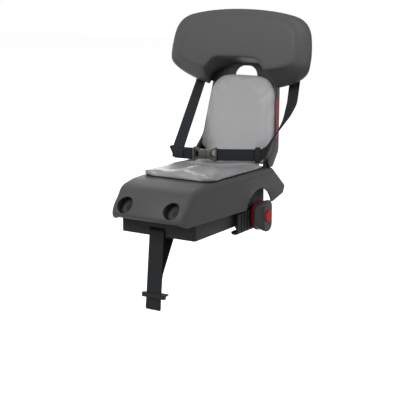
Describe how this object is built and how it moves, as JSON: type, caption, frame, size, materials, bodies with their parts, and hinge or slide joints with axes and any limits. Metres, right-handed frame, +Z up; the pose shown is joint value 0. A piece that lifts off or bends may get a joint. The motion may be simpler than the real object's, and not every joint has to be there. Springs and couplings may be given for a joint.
{
  "type": "rear child bike seat",
  "caption": "Rear child bike seat with a folding reclined back, head panel, harness, seat pads and a knob-driven clamp that grips the rails of a carrier",
  "frame": {"origin": "centre of the base plate's underside, which lies on the carrier", "axes": "+Z up, the child faces -Y, +X to the side of the clamp knob"},
  "size_m": [0.3458, 0.4178, 0.5791],
  "materials": {
    "shell_grey": "fine grained polypropylene",
    "clamp_black": "satin glass-filled nylon",
    "steel": "zinc plated",
    "brass_parts": "turned",
    "rubber_liner": "matte",
    "red_ring": "dark red",
    "red_cap": "glossy red",
    "reflector": "reflective film",
    "foam": "soft integral-skin foam",
    "webbing": "woven polyester webbing",
    "buckle": "acetal, fine grain"
  },
  "bodies": {
    "seat": {"base_plate": "clamp_black", "plate_screws": "steel", "clamp_housing": "clamp_black", "strap_bar": "steel", "spindle_bush": "brass_parts", "seat_shell": "shell_grey", "shell_screws": "steel", "socket_screws": "steel", "seat_cushion": "foam", "right_hinge_pin": "steel", "left_hinge_pin": "steel", "safety_strap": "webbing"},
    "backrest": {"backrest_frame": "shell_grey", "head_panel": "shell_grey", "panel_screws": "steel", "backrest_cushion": "foam", "side_stripes": "reflector", "left_shoulder_strap": "webbing", "right_shoulder_strap": "webbing", "left_waist_belt": "webbing", "right_waist_belt": "webbing", "buckle_socket": "buckle", "buckle_tongue": "buckle", "right_belt_slide": "buckle"},
    "knob": {"spindle": "steel", "retaining_rings": "steel", "knob_ring": "red_ring", "clamp_knob": "shell_grey", "knob_screw": "steel", "knob_cap": "red_cap"},
    "right_clamp": {"right_jaw": "clamp_black", "right_jaw_nut": "brass_parts", "right_jaw_pad": "rubber_liner"},
    "left_clamp": {"left_jaw": "clamp_black", "left_jaw_nut": "brass_parts", "left_jaw_pad": "rubber_liner"},
    "slider": {"strap_slider": "clamp_black"}
  },
  "joints": [
    {"name": "backrest_fold", "type": "hinge", "parent": "seat", "child": "backrest", "pos_m": [0, 0.147, 0.114], "axis": [1, 0, 0], "range_deg": [0, 85], "deforming": ["left_shoulder_strap", "right_shoulder_strap", "left_waist_belt", "right_waist_belt", "buckle_socket", "buckle_tongue", "right_belt_slide"]},
    {"name": "clamp_knob_turn", "type": "hinge", "parent": "seat", "child": "knob", "pos_m": [0.1, 0.089, 0.012], "axis": [1, 0, 0], "range_deg": [0, 2160]},
    {"name": "right_jaw_slide", "type": "slide", "parent": "seat", "child": "right_clamp", "axis": [-1, 0, 0], "range_m": [0, 0.03]},
    {"name": "left_jaw_slide", "type": "slide", "parent": "seat", "child": "left_clamp", "axis": [1, 0, 0], "range_m": [0, 0.03]},
    {"name": "strap_slider_slide", "type": "slide", "parent": "seat", "child": "slider", "axis": [0, -0.1054, -0.9944], "range_m": [-0.03, 0.02]}
  ],
  "couplings": [
    {"joint": "right_jaw_slide", "follows": "clamp_knob_turn", "m_per_rad": 0.0007957},
    {"joint": "left_jaw_slide", "follows": "clamp_knob_turn", "m_per_rad": 0.0007957}
  ]
}
